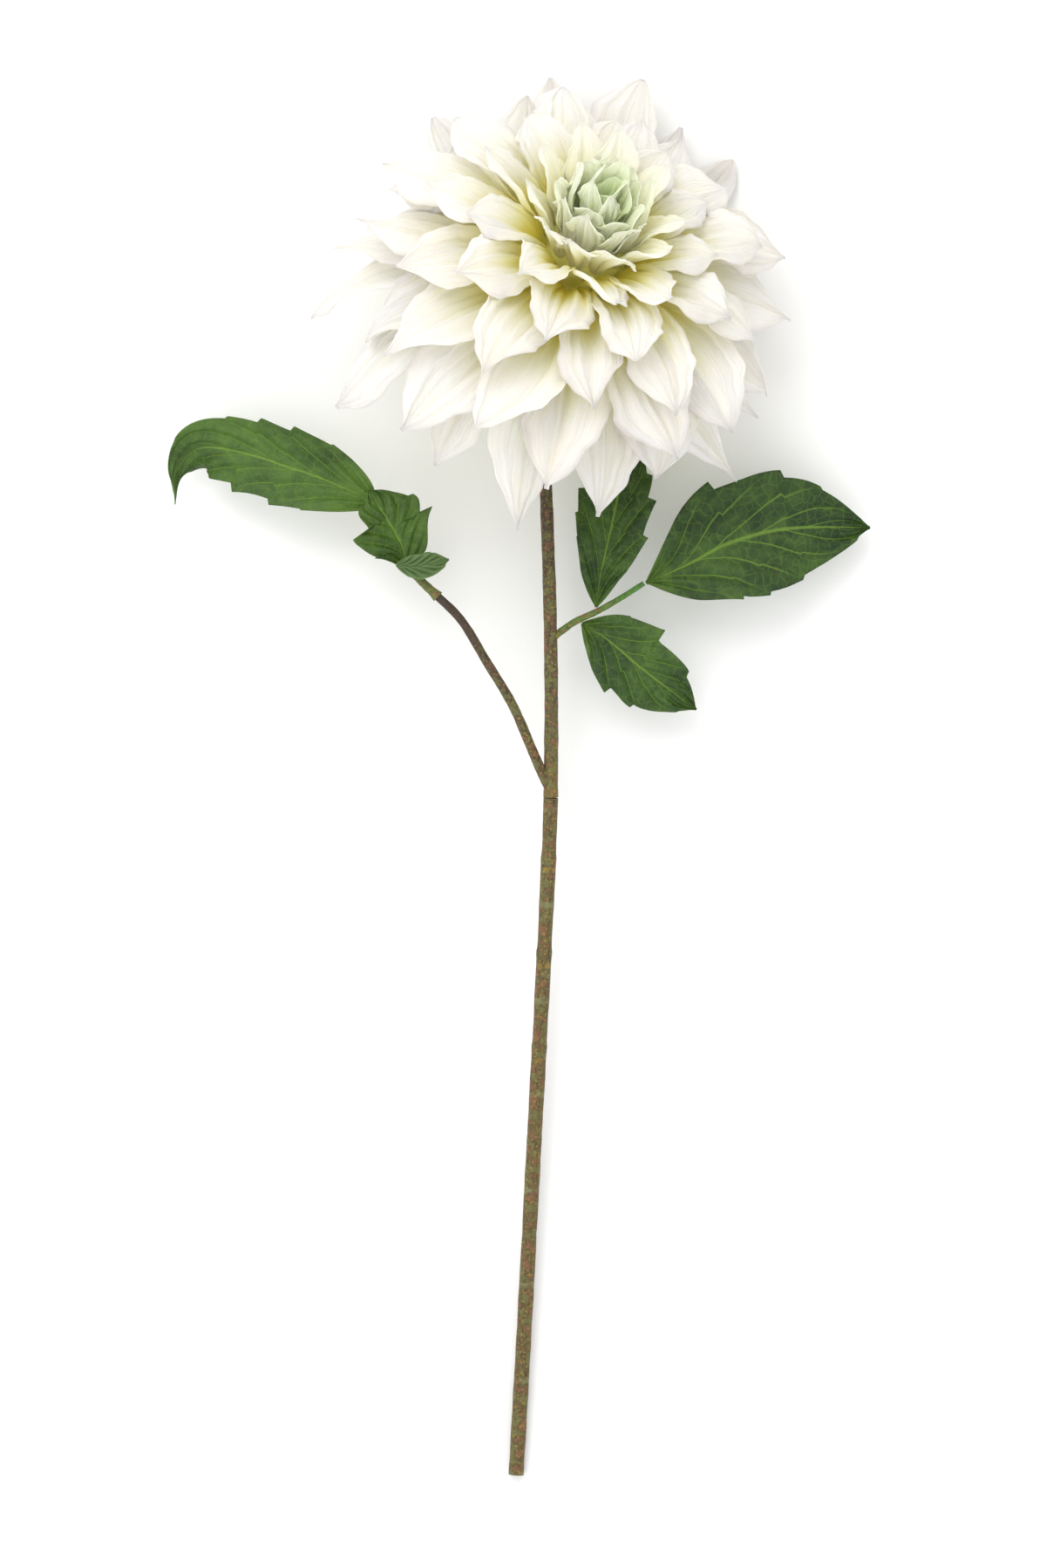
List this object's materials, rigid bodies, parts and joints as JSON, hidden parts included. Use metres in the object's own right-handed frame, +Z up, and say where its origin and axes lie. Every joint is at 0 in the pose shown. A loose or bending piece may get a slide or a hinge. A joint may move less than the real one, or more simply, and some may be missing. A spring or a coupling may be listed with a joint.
{
  "type": "artificial cut dahlia",
  "caption": "Large cream-white dahlia bloom of separate reflexed petals on a slim jointed stem, lying down, with a drooping leaf on a side branch and a compound leaf opposite it.",
  "frame": {"origin": "on the table under the middle of the whole flower's box", "axes": "+Y along the stem from the cut end to the bloom, +Z up from the table, +X to the side of the three-part leaf"},
  "size_m": [0.3036, 0.6046, 0.1383],
  "materials": {
    "petal": "soft matt cream white, lime yellow at the base",
    "inner_petal": "soft matt pale cream to yellow green",
    "bud": "soft matt pale green",
    "receptacle": "matt pale lime yellow, hidden among the petals",
    "calyx": "matt mid green",
    "stem": "matt olive brown with scarred rings",
    "upper_stem": "matt brown, olive towards the base",
    "leaf_stalk": "matt green",
    "leaf": "matt deep green with light veins"
  },
  "bodies": {
    "root": {"petal_1_1": "petal", "petal_1_2": "petal", "petal_1_3": "petal", "petal_1_4": "petal", "petal_1_5": "petal", "petal_1_6": "petal", "petal_1_7": "petal", "petal_1_8": "petal", "petal_1_9": "petal", "petal_1_10": "petal", "petal_1_11": "petal", "petal_1_12": "petal", "petal_2_1": "petal", "petal_2_2": "petal", "petal_2_3": "petal", "petal_2_4": "petal", "petal_2_5": "petal", "petal_2_6": "petal", "petal_2_7": "petal", "petal_2_8": "petal", "petal_2_9": "petal", "petal_2_10": "petal", "petal_3_1": "petal", "petal_3_2": "petal", "petal_3_3": "petal", "petal_3_4": "petal", "petal_3_5": "petal", "petal_3_6": "petal", "petal_3_7": "petal", "petal_3_8": "petal", "petal_3_9": "petal", "petal_3_10": "petal", "petal_4_1": "petal", "petal_4_2": "petal", "petal_4_3": "petal", "petal_4_4": "petal", "petal_4_5": "petal", "petal_4_6": "petal", "petal_4_7": "petal", "petal_4_8": "petal", "petal_4_9": "petal", "petal_4_10": "petal", "petal_whorl_5": "petal", "petal_whorl_6": "inner_petal", "petal_whorl_7": "inner_petal", "petal_whorl_8": "inner_petal", "centre_bud": "bud", "receptacle": "receptacle", "calyx": "calyx", "lower_stem": "stem", "upper_stem": "upper_stem", "side_branch": "upper_stem", "left_leaf_stalk": "leaf_stalk", "right_leaf_stalk": "leaf_stalk", "left_terminal_leaflet": "leaf", "left_side_leaflet": "leaf", "left_folded_leaflet": "leaf", "right_terminal_leaflet": "leaf", "right_upper_leaflet": "leaf", "right_lower_leaflet": "leaf"}
  },
  "joints": []
}
